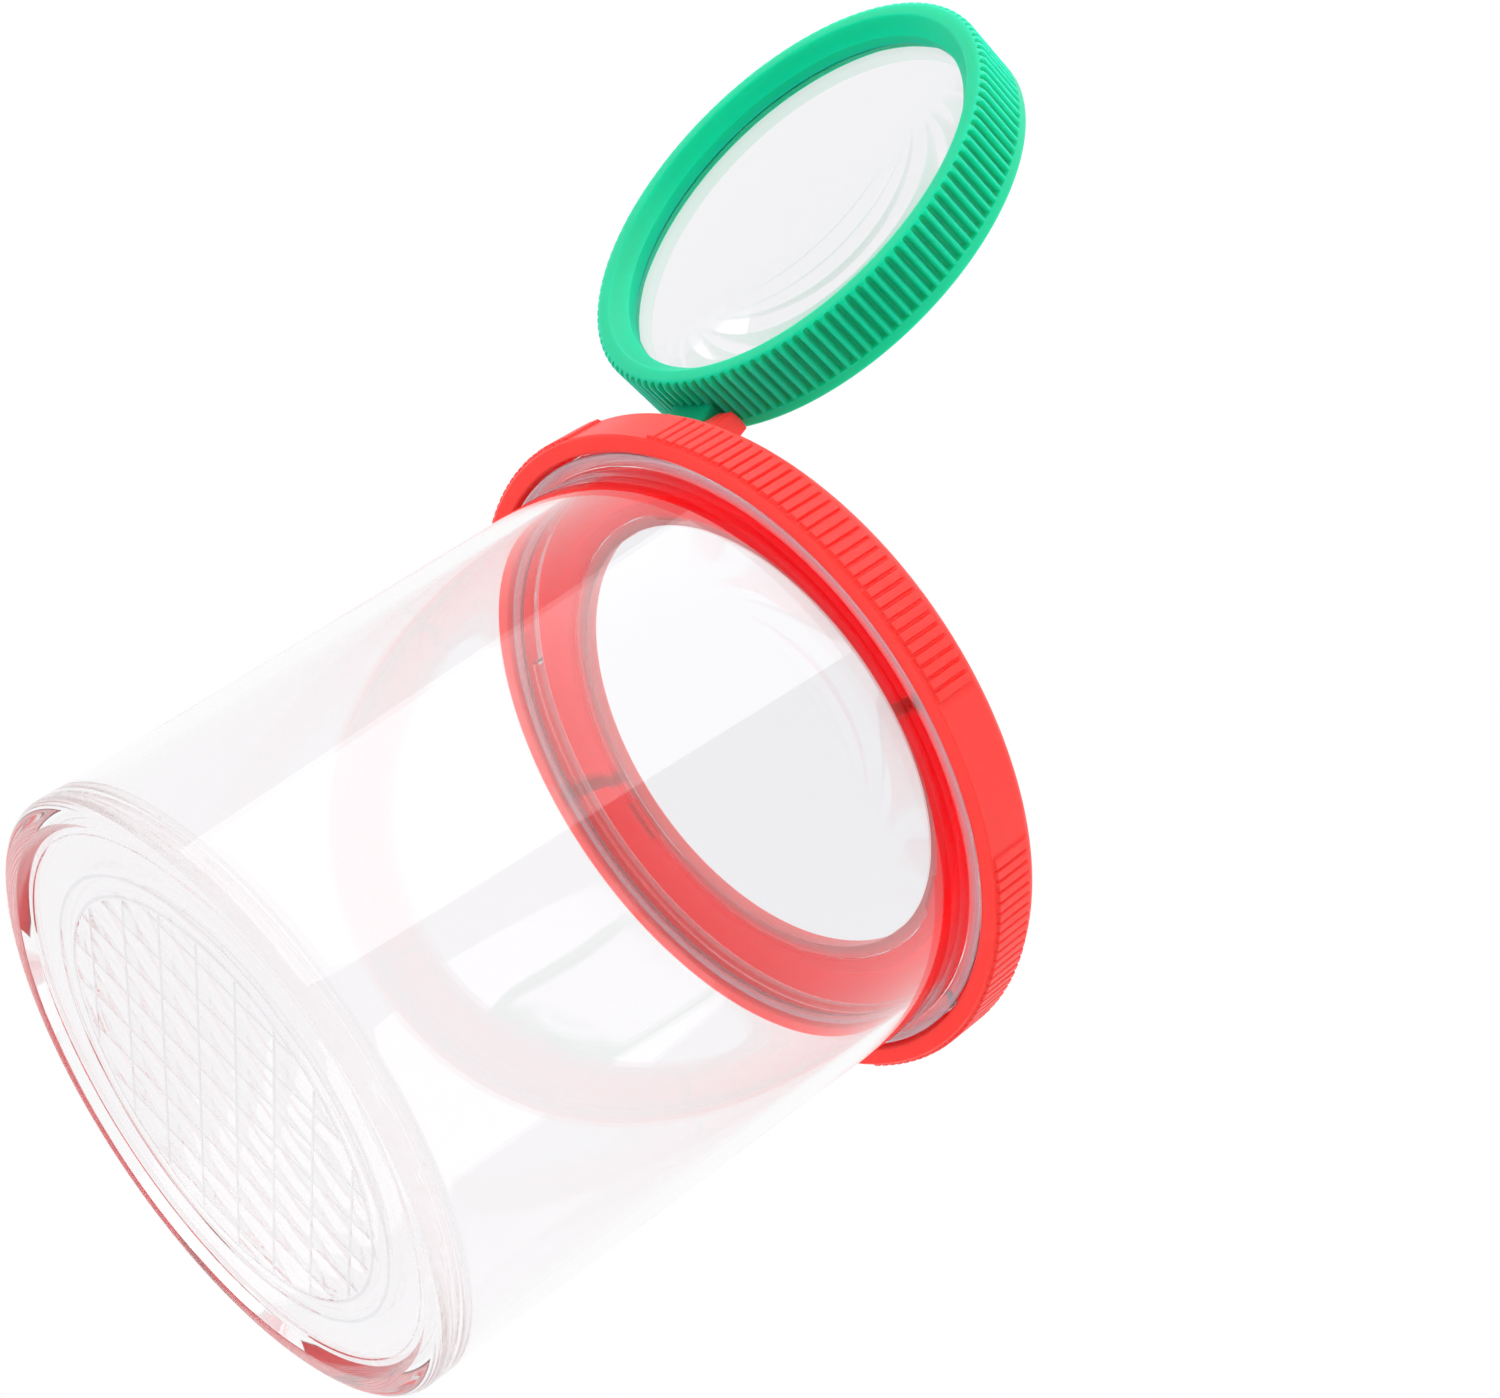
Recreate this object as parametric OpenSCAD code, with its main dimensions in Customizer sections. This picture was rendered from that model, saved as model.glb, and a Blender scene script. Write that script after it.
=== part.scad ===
// Bug catcher jar: a clear cup with a measuring grid moulded under its floor,
// a red lid ring that seats on the cup's mouth and locks with a part turn,
// a low power lens in the lid, and a fluted flip ring with a stronger lens.
// Units are millimetres. The jar stands on z = 0 and its axis is Z.

/* [Cup] */
// Radius of the cup's outside just above the rounded foot corner
cup_low_r = 30.12; // [28:0.1:32]
// Radius of the cup's outside at its rim
cup_top_r = 31.6; // [30.4:0.1:31.6]
// Height of the cup from the table to its rim
cup_h = 65.4; // [40:1:90]
// Thickness of the cup's wall
cup_wall = 1.5; // [1:0.1:2]
// Thickness of the cup's floor above the foot recess
cup_floor = 2; // [1.2:0.1:3]
// Rounding of the foot's outer corner
foot_round = 1.05; // [0.5:0.05:1.4]
// Radial width of the flat ring that the cup stands on
foot_land = 1.25; // [0.8:0.05:2]
// Depth of the recess under the floor
foot_recess = 0.8; // [0.4:0.1:1.2]

/* [Floor grid] */
// Spacing of the measuring grid's lines
grid_pitch = 5; // [2.5:0.5:10]
// Radius of the ring that bounds the grid
grid_r = 20.36; // [12:0.1:21]
// Radius of the plain ring outside the grid
grid_ring_r = 22.39; // [22:0.05:24]
// Width of a moulded line
grid_line_w = 0.3; // [0.2:0.05:0.6]
// How far a moulded line stands out under the floor
grid_line_h = 0.15; // [0.1:0.05:0.3]
// Turn of the grid about the jar's axis
grid_turn = 331.5; // [0:0.5:360]

/* [Cup mouth] */
// How far the seat flange and the locking lugs stand out from the wall
lug_reach = 1.25; // [0.9:0.05:1.25]
// Thickness of the seat flange round the mouth
flange_t = 0.5; // [0.4:0.05:0.55]
// Height of the groove between the seat flange and the lugs
groove_h = 1.2; // [1.1:0.05:1.25]
// Thickness of a locking lug on the cup
cup_lug_t = 0.75; // [0.6:0.05:0.8]
// Angle that one locking lug of the cup spans
cup_lug_span = 144; // [120:1:146]
// Direction of the middle of the first gap between the lugs
lug_gap_az = 329; // [0:1:360]

/* [Lid] */
// Outer radius of the lid's smooth skirt
lid_r = 35; // [35:0.1:38]
// Wall of the lid's skirt
skirt_wall = 1.84; // [1.4:0.02:1.9]
// Thickness of the lid's top
lid_top_t = 2.25; // [1.8:0.05:3]
// Depth of the skirt below the lid's top
skirt_depth = 3.75; // [3.6:0.05:5]
// Rounding of the lid's top edge
lid_round = 1.2; // [0.6:0.1:1.6]
// Radius of the opening for the lid's lens
lid_open_r = 23.6; // [20:0.1:24]
// Depth of the collar that holds the lid's lens
collar_depth = 1.3; // [1.1:0.1:1.8]
// Wall of the collar
collar_wall = 1.3; // [1:0.1:2]
// Width of the shoulder that the lid's lens seats against
lens_shoulder = 1.4; // [1:0.1:2]
// Height of the ribs that keep an air gap over the cup's rim
vent_rib_h = 0.6; // [0.4:0.1:0.8]
// Width of an air gap rib
vent_rib_w = 1.7; // [1:0.1:3]
// Angle from an air gap rib to the middle of the gap between the cup's lugs
vent_rib_turn = 48; // [20:1:70]
// Angle that one locking lug of the lid spans
lid_lug_span = 22; // [12:1:26]
// Thickness of a locking lug on the lid
lid_lug_t = 0.7; // [0.5:0.05:0.75]

/* [Lid grip] */
// Angle from one grip rib to the next
rib_pitch = 2; // [1.5:0.5:6]
// How far the grip ribs stand out from the skirt
rib_h = 0.3; // [0.2:0.05:0.6]
// Direction of the middle of a narrow plain zone, near the hinge
plain_az = 205; // [0:1:360]
// Angle that a narrow plain zone spans
plain_narrow_span = 15; // [10:1:30]
// Angle from a narrow plain zone's middle to the next wide one's
plain_offset = 89; // [70:1:110]
// Angle that a wide plain zone spans
plain_wide_span = 26; // [10:1:40]

/* [Lid lens] */
// Edge thickness of the lid's lens
lid_lens_edge = 0.65; // [0.5:0.05:0.8]
// Height of the lid lens's dome
lid_lens_sag = 1.6; // [1:0.1:3.6]

/* [Flip ring] */
// Outer radius of the flip ring
ring_r = 24.2; // [23.8:0.1:24.4]
// Thickness of the flip ring from its seat to its face
ring_t = 7.4; // [7.2:0.1:9]
// Radius of the clear opening in the flip ring
ring_open_r = 20.85; // [19:0.05:21.2]
// Height of the lens's lip above the ring's seat
ring_lip = 4.7; // [4.5:0.05:5]
// Height of the lip's own wall round the opening
ring_lip_h = 1.25; // [0.6:0.05:1.6]
// Radius at which the face's dished bevel starts
ring_face_r = 22.05; // [21.6:0.05:22.6]
// Rounding of the outer edge of the ring's face
ring_round = 0.75; // [0.6:0.05:0.9]
// Wall of the pocket that the lens sits in
pocket_wall = 1.75; // [1.4:0.05:2]

/* [Ring flutes] */
// Number of flutes round the ring
flute_count = 120; // [60:2:160]
// Depth of a flute
flute_depth = 0.5; // [0.3:0.05:0.6]
// Height of the smooth band below the flutes
flute_band = 1.2; // [0.6:0.1:2.5]

/* [Flip lens] */
// Edge thickness of the flip lens
flip_lens_edge = 1.8; // [1:0.1:2]
// Height of the flip lens's dome
flip_lens_sag = 2.4; // [1.5:0.1:2.6]

/* [Hinge] */
// Direction of the hinge from the jar's axis
hinge_az = 205; // [0:1:360]
// Distance of the hinge axis from the jar's axis
hinge_reach = 28.82; // [28.8:0.02:29.2]
// Height of the hinge axis above the lid's top
hinge_rise = 2.02; // [2.02:0.02:2.4]
// Angle that the flip ring stands open
open_angle = 119.7; // [0:0.1:150]
// Distance from the pin's axis to the outer side of an ear
ear_front = 3.35; // [2.8:0.05:3.4]
// Distance from the pin's axis to the inner side of an ear
ear_back = 2.6; // [2.4:0.05:3]
// Height of an ear's top above the pin's axis
ear_rise = 4.8; // [4:0.05:4.8]
// Width of an ear's upright tip
ear_tip_w = 2.3; // [1.6:0.05:2.6]
// Height of an ear's upright tip
ear_tip_h = 1.2; // [0.6:0.05:1.6]
// Thickness of an ear
ear_t = 2; // [1.6:0.1:2.6]
// Radius of the pins moulded on the flip ring's knuckle
pin_r = 1.3; // [1:0.05:1.4]
// Radius of the knuckle on the flip ring
knuckle_r = 1.75; // [1.6:0.05:1.75]
// Height of the knuckle's arm above the pin's axis, on the face's side
arm_rise = 2.35; // [1.8:0.05:2.4]
// Width of the knuckle
knuckle_w = 5.6; // [4:0.1:7]

/* [Fits] */
// Gap between pieces that lie on each other but move apart
seat_gap = 0.25; // [0.2:0.05:0.3]
// Gap between a lens and the seat that holds it
lens_gap = 0.08; // [0.05:0.01:0.12]
// Running clearance of the hinge pins in their bores
pin_gap = 0.08; // [0.05:0.01:0.1]

/* [Hidden] */
$fn = 96;

// Overrun of a cut past the face that it opens
over = 0.5;
// Points on a rounded corner, and on a lens's dome
corner_steps = 5;
dome_steps = 16;
// How far a raised form is sunk into the wall that carries it
sink = 0.4;

// Cup: heights and radii that follow from the driving sizes
cup_slope = (cup_top_r - cup_low_r) / (cup_h - foot_round);
floor_top = foot_recess + cup_floor;
inner_round = 0.8 * cup_wall;
rim_round = cup_wall / 2;
foot_inner_r = cup_low_r - foot_round - foot_land;
recess_slope = foot_recess;
function cup_r(z) = cup_low_r + cup_slope * (z - foot_round);

// Lid: heights from the rim of the cup upwards
plate_z = cup_h + seat_gap + vent_rib_h;
lid_z = plate_z + lid_top_t;
skirt_z = plate_z - skirt_depth;
skirt_in_r = lid_r - skirt_wall;
collar_r = lid_open_r + lens_shoulder;
collar_z = plate_z - collar_depth;
collar_out_r = collar_r + collar_wall;

// Locking lugs, from the bottom of the skirt upwards
flange_z = skirt_z + 0.3 * lug_reach;
lug_r = cup_top_r + lug_reach;
cup_lug_z = flange_z + flange_t + groove_h;
lid_lug_z = flange_z + flange_t + (groove_h - lid_lug_t) / 2;
lid_lug_in_r = cup_top_r + seat_gap;
lug_sides = [0, 180];

// Lens of the lid, under the lid's shoulder and through its opening
lid_lens_r = collar_r - lens_gap;
lid_lens_top = plate_z - lens_gap;
lid_lens_z = lid_lens_top - lid_lens_edge;
lid_dome_r = lid_open_r - lens_gap;
nib_span = 4 * collar_wall * 360 / (2 * PI * collar_r);
nib_reach = 0.35 * lens_shoulder;
nib_count = 3;
nib_h = lid_lens_z - lens_gap - collar_z;

// Flip ring: seated height when closed, and the pocket of its lens
ring_seat_z = lid_z + seat_gap;
pocket_r = ring_r - pocket_wall;
flip_lens_r = pocket_r - lens_gap;
flip_lens_top = ring_lip - lens_gap;
flip_lens_z = flip_lens_top - flip_lens_edge;
bead_z = flip_lens_z - lens_gap;
bead_reach = 0.25 * pocket_wall;
lip_round = 0.1 * (ring_face_r - ring_open_r);

// Grip ribs: where the bands start and how many ribs each holds
rib_low_z = skirt_z + 0.3 * lid_round;
rib_top_z = lid_z - lid_round;
// Shares of a rib's pitch: where its crest starts and ends, and where its foot ends
rib_shares = [0.1, 0.54, 0.64];
band_starts = [for (side = lug_sides, wide = [0, 1])
    plain_az + side + wide * plain_offset + (wide == 0 ? plain_narrow_span : plain_wide_span) / 2];
band_spans = [for (side = lug_sides, wide = [0, 1])
    (wide == 0 ? plain_offset : 180 - plain_offset) - (plain_narrow_span + plain_wide_span) / 2];

// Flutes: their pitch, and its shares where a flute's side, its floor, its other side and the next rib start
flute_pitch = 360 / flute_count;
flute_shares = [0.15, 0.32, 0.68, 0.85];

// Hinge: the ears stay clear of the ring's wall as it swings past them
hinge_z = lid_z + hinge_rise;
axis_over_seat = hinge_z - ring_seat_z;
ear_in = knuckle_w / 2 + seat_gap;
ear_out = ear_in + ear_t;
ear_round = 0.6 * ear_tip_w;
pin_end = ear_out - seat_gap;
function ear_clear(y) = hinge_reach - sqrt(ring_r * ring_r - y * y) - seat_gap / 2;

// Points of an arc about (cx, cy) from angle a0 to angle a1
function arc(cx, cy, r, a0, a1, steps) =
    [for (i = [0:steps]) let (a = a0 + (a1 - a0) * i / steps) [cx + r * cos(a), cy + r * sin(a)]];

// Radius of the sphere whose cap of radius r has height sag
function ball_r(r, sag) = (r * r + sag * sag) / (2 * sag);

// Points of a dome's outline from its rim at (r, z) to the axis; up is 1 or -1
function dome(r, z, sag, up) = let (b = ball_r(r, sag), a0 = asin(r / b))
    [for (i = [0:dome_steps]) let (a = a0 * (1 - i / dome_steps))
        [b * sin(a), z + up * (b * cos(a) - b + sag)]];

// A block that follows the circle between radii r0 and r1, centred on direction az
module sector(r0, r1, z0, h, az, span) {
    rotate([0, 0, az - span / 2])
        translate([0, 0, z0])
            rotate_extrude(angle = span, $fn = 180)
                translate([r0, 0]) square([r1 - r0, h]);
}

module cup() {
    color([0.93, 0.93, 0.95, 0.35]) union() {
        rotate_extrude($fn = 180) cup_outline();
        floor_grid();
        // Seat flange all round, and a pair of long locking lugs above it
        rotate_extrude($fn = 180)
            translate([cup_r(flange_z) - sink, flange_z]) square([lug_r - cup_r(flange_z) + sink, flange_t]);
        for (side = lug_sides)
            sector(cup_r(cup_lug_z) - sink, lug_r, cup_lug_z, cup_lug_t, lug_gap_az + 90 + side, cup_lug_span);
    }
}

// Half section of the cup: rounded foot, recessed underside, tapered wall and a full round rim
module cup_outline() {
    out_c = cup_low_r - foot_round;
    in_c = cup_r(floor_top) - cup_wall - inner_round;
    polygon(concat(
        [[0, foot_recess], [foot_inner_r - recess_slope, foot_recess], [foot_inner_r, 0]],
        arc(out_c, foot_round, foot_round, -90, 0, corner_steps),
        arc(cup_top_r - rim_round, cup_h - rim_round, rim_round, 0, 180, 2 * corner_steps),
        arc(in_c, floor_top + inner_round, inner_round, 0, -90, corner_steps),
        [[0, floor_top]]
    ));
}

// Raised lines of the measuring grid under the floor, inside its ring, and the plain ring round it
module floor_grid() {
    steps = floor(grid_r / grid_pitch - 0.5);
    translate([0, 0, foot_recess - grid_line_h]) linear_extrude(grid_line_h + sink) {
        intersection() {
            circle(grid_r, $fn = 180);
            rotate(grid_turn) for (turn = [0, 90], i = [-steps - 1:steps])
                rotate(turn) translate([-grid_r, (i + 0.5) * grid_pitch - grid_line_w / 2])
                    square([2 * grid_r, grid_line_w]);
        }
        line_ring(grid_r);
        line_ring(grid_ring_r);
    }
}

// A moulded line that runs round at radius r
module line_ring(r) {
    difference() {
        circle(r + grid_line_w / 2, $fn = 180);
        circle(r - grid_line_w / 2, $fn = 180);
    }
}

module lid() {
    color([0.92, 0.13, 0.11]) difference() {
        union() {
            rotate_extrude($fn = 180) lid_outline();
            for (i = [0:len(band_starts) - 1]) grip_band(band_starts[i], band_spans[i]);
            for (side = lug_sides) {
                sector(lid_lug_in_r, skirt_in_r + sink, lid_lug_z, lid_lug_t, lug_gap_az + side, lid_lug_span);
                vent_rib(lug_gap_az - vent_rib_turn + side);
            }
            for (i = [0:nib_count - 1])
                sector(collar_r - nib_reach, collar_r + sink, collar_z, nib_h,
                    lug_gap_az + i * 360 / nib_count, nib_span);
            at_hinge() {
                ear();
                mirror([0, 1, 0]) ear();
            }
        }
        at_hinge() rotate([90, 0, 0])
            cylinder(r = pin_r + pin_gap, h = 2 * (ear_out + over), center = true, $fn = 48);
    }
}

// Half section of the lid: skirt, top with its rounded edge, and the lens collar
module lid_outline() {
    polygon(concat(
        [[skirt_in_r, skirt_z], [lid_r, skirt_z]],
        arc(lid_r - lid_round, lid_z - lid_round, lid_round, 0, 90, corner_steps),
        [[lid_open_r, lid_z], [lid_open_r, plate_z], [collar_r, plate_z], [collar_r, collar_z],
         [collar_out_r, collar_z], [collar_out_r, plate_z], [skirt_in_r, plate_z]]
    ));
}

// Grip ribs side by side over span degrees, on one backing that lies inside the skirt's wall
module grip_band(start, span) {
    count = floor(span / rib_pitch);
    back_r = lid_r - skirt_wall / 2;
    foot_r = lid_r - rib_h / 3;
    first = start + (span - count * rib_pitch) / 2;
    translate([0, 0, rib_low_z]) linear_extrude(rib_top_z - rib_low_z) polygon(concat(
        [for (i = [0:count - 1], p = [[foot_r, 0], [lid_r + rib_h, rib_shares[0]],
                [lid_r + rib_h, rib_shares[1]], [foot_r, rib_shares[2]]])
            p[0] * [cos(first + (i + p[1]) * rib_pitch), sin(first + (i + p[1]) * rib_pitch)]],
        [for (i = [0:count]) let (a = first + (count - i) * rib_pitch) back_r * [cos(a), sin(a)]]
    ));
}

// A rib under the lid's top that keeps an air gap over the cup's rim
module vent_rib(az) {
    rotate([0, 0, az])
        translate([collar_out_r - sink, -vent_rib_w / 2, plate_z - vent_rib_h])
            cube([skirt_in_r - collar_out_r + 2 * sink, vent_rib_w, vent_rib_h + sink]);
}

// The hinge's own frame: X points away from the jar's axis, Y lies along the pins
module at_hinge() {
    rotate([0, 0, hinge_az]) translate([hinge_reach, 0, hinge_z]) children();
}

// One of the two ears that carry the flip ring's pins, its tip trimmed to a cone that clears the ring's wall
module ear() {
    rotate([90, 0, 0]) translate([0, 0, ear_in]) intersection() {
        linear_extrude(ear_t) ear_outline();
        cylinder(r1 = ear_clear(ear_in), r2 = ear_clear(ear_out), h = ear_t, $fn = 72);
    }
}

// Side view of an ear about the pin's axis: broad foot round the bore, sloped shoulder and upright tip
module ear_outline() {
    tip_x = ear_front - ear_tip_w;
    shoulder = ear_rise - ear_tip_h;
    polygon(concat(
        [[-ear_back, -hinge_rise - sink], [ear_front, -hinge_rise - sink]],
        arc(ear_front - ear_round, ear_rise - ear_round, ear_round, 0, 90, corner_steps),
        [[tip_x, ear_rise], [tip_x, shoulder], [-ear_back, shoulder - tip_x - ear_back]]
    ));
}

module lid_lens() {
    color([0.95, 0.95, 0.97, 0.35]) rotate_extrude($fn = 180)
        polygon(concat(
            [[0, lid_lens_z], [lid_lens_r, lid_lens_z], [lid_lens_r, lid_lens_top], [lid_dome_r, lid_lens_top]],
            dome(lid_dome_r, lid_lens_top + lens_gap, lid_lens_sag, 1)
        ));
}

// Carries what is drawn for the closed ring, about its own seat, to where the ring stands open
module opened() {
    at_hinge() rotate([0, open_angle, 0]) translate([-hinge_reach, 0, -axis_over_seat]) children();
}

module flip_ring() {
    color([0.02, 0.69, 0.44]) opened() union() {
        difference() {
            rotate_extrude($fn = 180) ring_outline();
            flutes();
        }
        knuckle();
    }
}

// Cutter for the flutes: a band outside the ring that has the ribs between the flutes taken out of it.
// The flutes run out through the rounded edge of the face and stop at the smooth band below them.
module flutes() {
    root_r = ring_r - flute_depth;
    top_r = ring_r + over;
    points = [[top_r, flute_shares[0]], [root_r, flute_shares[1]], [root_r, flute_shares[2]],
              [top_r, flute_shares[3]]];
    translate([0, 0, flute_band]) linear_extrude(ring_t) difference() {
        circle(top_r + over, $fn = 180);
        polygon([for (i = [0:flute_count - 1], p = points)
            let (a = (i + p[1]) * flute_pitch) p[0] * [cos(a), sin(a)]]);
    }
}

// Half section of the flip ring, closed: seat at zero, face at the top with a dished bevel down to the lip
// of the opening, and the lens pocket below that lip
module ring_outline() {
    face_round = 0.55 * ring_round;
    bevel_z = ring_lip + ring_lip_h;
    polygon(concat(
        [[pocket_r + seat_gap, 0]],
        arc(ring_r - ring_round / 2, ring_round / 2, ring_round / 2, -90, 0, corner_steps),
        arc(ring_r - ring_round, ring_t - ring_round, ring_round, 0, 90, corner_steps),
        arc(ring_face_r + face_round, ring_t - face_round, face_round, 90, 140, corner_steps),
        [[ring_open_r + lip_round, bevel_z], [ring_open_r, bevel_z - lip_round],
         [ring_open_r, ring_lip], [pocket_r, ring_lip], [pocket_r, bead_z],
         [pocket_r - bead_reach, bead_z - bead_reach], [pocket_r, bead_z - 3 * bead_reach]]
    ));
}

// The knuckle between the ears, its arm to the ring, and the two pins that snap into the ears
module knuckle() {
    arm_start = ring_r - pocket_wall / 2;
    arm_slope = 0.7 * knuckle_r;
    translate([0, 0, axis_over_seat]) rotate([90, 0, 0]) {
        translate([hinge_reach, 0, 0]) {
            cylinder(r = knuckle_r, h = knuckle_w, center = true, $fn = 72);
            cylinder(r = pin_r, h = 2 * pin_end, center = true, $fn = 48);
        }
        linear_extrude(knuckle_w, center = true) polygon([
            [arm_start, -knuckle_r], [hinge_reach, -knuckle_r], [hinge_reach, knuckle_r],
            [hinge_reach - arm_slope, arm_rise], [arm_start, arm_rise]
        ]);
    }
}

module flip_lens() {
    face_r = ring_open_r - lens_gap;
    color([0.95, 0.95, 0.97, 0.35]) opened() rotate_extrude($fn = 180)
        polygon(concat(
            dome(face_r, flip_lens_top, flip_lens_sag, 1),
            [[0, flip_lens_z], [flip_lens_r, flip_lens_z], [flip_lens_r, flip_lens_top]]
        ));
}

cup();
lid();
lid_lens();
flip_ring();
flip_lens();
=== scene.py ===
"""Bug catcher jar: the looks of the clear cup, the red lid ring, the green flip ring and the two lenses.

Every mesh is worked out with numpy, in millimetres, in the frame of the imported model, and is stored in
metres. The jar stands on z = 0 and its axis is Z. Most pieces are turned forms: an outline of (radius,
height) points carried round an axis, with radius and height moved by a pattern of the angle where ribs,
flutes or lugs stand.
"""

import logging
from dataclasses import dataclass
from enum import Enum
from typing import Callable, Optional, Sequence

import bpy
import numpy as np
from mathutils import Matrix, Vector
from mathutils.geometry import delaunay_2d_cdt

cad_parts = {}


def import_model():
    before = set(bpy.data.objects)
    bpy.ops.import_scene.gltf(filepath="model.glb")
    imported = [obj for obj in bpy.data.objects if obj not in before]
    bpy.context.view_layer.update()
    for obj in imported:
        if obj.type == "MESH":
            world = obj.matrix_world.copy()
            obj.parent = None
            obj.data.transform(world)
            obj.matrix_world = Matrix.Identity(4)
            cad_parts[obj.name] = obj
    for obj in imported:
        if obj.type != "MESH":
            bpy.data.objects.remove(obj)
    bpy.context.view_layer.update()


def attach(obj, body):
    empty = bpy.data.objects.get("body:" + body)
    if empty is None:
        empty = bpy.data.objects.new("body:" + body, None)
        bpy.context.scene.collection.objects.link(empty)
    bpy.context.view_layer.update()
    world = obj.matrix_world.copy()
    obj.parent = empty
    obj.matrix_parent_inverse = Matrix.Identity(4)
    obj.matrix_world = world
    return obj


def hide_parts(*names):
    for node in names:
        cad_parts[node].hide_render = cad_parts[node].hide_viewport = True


MM = 0.001
LOG = logging.getLogger("jar")

# An edge stays sharp where its faces turn by more than this many degrees.
CREASE = 30.0
# Flat discs have a ring of points at this radius in millimetres, so that no face spans from rim to middle.
MID_R = 12.0
# Where an outline is the least of several reaches, FAR stands for no limit, and TINY keeps a divisor off 0.
FAR, TINY = 1e6, 1e-6

Array = np.ndarray
Piece = bpy.types.Object
Material = bpy.types.Material
Shape = Callable[[Array, Array, Array], tuple[Array, Array]]
Surface = tuple[Array, Array, Array]


def hex_colour(code: str) -> tuple[float, float, float, float]:
    """Turn an sRGB hex colour into Blender's linear colour.

    Args:
        code: six hex digits after a hash.

    Returns:
        Linear red, green, blue and an alpha of 1.
    """
    srgb = np.array([int(code[i : i + 2], 16) for i in (1, 3, 5)]) / 255
    linear = np.where(srgb <= 0.04045, srgb / 12.92, ((srgb + 0.055) / 1.055) ** 2.4)
    return (float(linear[0]), float(linear[1]), float(linear[2]), 1.0)


def smooth_step(x: Array) -> Array:
    """Ease from 0 to 1 as x goes from 0 to 1: x squared times (3 - 2 x), held flat outside."""
    x = np.clip(x, 0, 1)
    return x * x * (3 - 2 * x)


def arc(cx: float, cz: float, r: float, start: float, end: float, steps: int) -> Array:
    """Points on an arc, from one angle to another.

    Args:
        cx: radius coordinate of the arc's centre.
        cz: height coordinate of the arc's centre.
        r: radius of the arc.
        start: first angle in degrees, measured from outwards towards up.
        end: last angle in degrees.
        steps: number of equal steps.

    Returns:
        (radius, height) rows.
    """
    a = np.radians(np.linspace(start, end, steps + 1))
    return np.stack([cx + r * np.cos(a), cz + r * np.sin(a)], 1)


def dome(radius: float, height: float, sag: float, steps: int = 28) -> Array:
    """Points on a spherical cap from its rim to the axis.

    The ball's radius is (radius squared + sag squared) / (2 sag), and the angle from the axis runs
    evenly from the rim to the pole.

    Args:
        radius: radius of the cap's rim.
        height: height of the rim.
        sag: rise of the pole over the rim.
        steps: number of equal steps.

    Returns:
        (radius, height) rows that end on the axis.
    """
    ball = (radius**2 + sag**2) / (2 * sag)
    a = np.arcsin(radius / ball) * np.linspace(1, 0, steps + 1)
    return np.stack([ball * np.sin(a), height + (ball * np.cos(a) - ball + sag)], 1)


def lens_rows(radius: float, low: float, top: float, ease: float = 0.1) -> Array:
    """Outline of a lens's flat underside and of its flange's eased edge, from the axis outwards and up."""
    return np.array([[0, low], [MID_R, low], [radius - ease, low], [radius, low + ease],
                     [radius, top - ease], [radius - ease, top]])


def outline(*parts: Sequence) -> Array:
    """Join points and arrays of points into one outline of (radius, height) rows."""
    return np.concatenate([np.atleast_2d(np.asarray(p, float)) for p in parts])


def even_azimuths(sections: int) -> Array:
    """Even angles round the turn in degrees, from 0 to under 360."""
    return np.arange(sections) * 360.0 / sections


def within(az: Array, middle: float, span: float, ease: float) -> Array:
    """How far angles lie inside a zone: 1 inside and 0 outside, eased over its ends.

    Args:
        az: angles in degrees.
        middle: the zone's middle in degrees.
        span: the zone's width in degrees.
        ease: degrees over which each end fades.

    Returns:
        A value from 0 to 1 for each angle.
    """
    off = np.abs((az - middle + 180) % 360 - 180)
    return smooth_step((span / 2 - off) / ease)


def turned(points: Array, az: Array, shape: Optional[Shape] = None, loop: bool = False) -> Surface:
    """Carry an outline round the axis: x = r cos(az), y = r sin(az), z = height.

    Args:
        points: (radius, height) rows with the solid on the left as they run.
        az: ascending angles in degrees.
        shape: takes radii, heights and angles as grids, and returns moved radii and heights.
        loop: True if the last point joins the first.

    Returns:
        The vertices, the quads and the triangles, welded at the poles.
    """
    r, a = np.meshgrid(points[:, 0], az, indexing="ij")
    z = np.repeat(points[:, 1:], len(az), 1)
    if shape is not None:
        r, z = shape(r, z, a)
    turn = np.radians(a)
    verts = np.stack([r * np.cos(turn), r * np.sin(turn), z], 2).reshape(-1, 3)
    ids = np.arange(r.size).reshape(r.shape)
    low, high = (ids, np.roll(ids, -1, 0)) if loop else (ids[:-1], ids[1:])
    quads = np.stack([low, np.roll(low, -1, 1), np.roll(high, -1, 1), high], 2).reshape(-1, 4)
    return weld(verts, quads, np.zeros((0, 3), int))


def weld(verts: Array, quads: Array, tris: Array) -> Surface:
    """Merge vertices that lie in one place, and drop the corners and faces that this empties.

    Args:
        verts: x, y, z rows.
        quads: rows of four corners.
        tris: rows of three corners.

    Returns:
        The merged vertices, quads and triangles.
    """
    _, first, where = np.unique(np.round(verts, 5), axis=0, return_index=True, return_inverse=True)
    quads, tris = where.reshape(-1)[quads], where.reshape(-1)[tris]
    same = quads == np.roll(quads, -1, 1)
    once = same.sum(1) == 1
    thinned = quads[once][~same[once]].reshape(-1, 3)
    tris = np.concatenate([tris, thinned])
    whole = (tris != np.roll(tris, -1, 1)).all(1)
    return verts[first], quads[~same.any(1)], tris[whole]


def joined(*surfaces: Surface) -> Surface:
    """Weld several surfaces that share edges into one.

    Args:
        surfaces: the surfaces, with the same points along the edges that they share.

    Returns:
        One surface.
    """
    starts = np.cumsum([0] + [len(s[0]) for s in surfaces[:-1]])
    faces = [np.concatenate([s[k] + start for s, start in zip(surfaces, starts)]) for k in (1, 2)]
    return weld(np.concatenate([s[0] for s in surfaces]), *faces)


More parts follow.
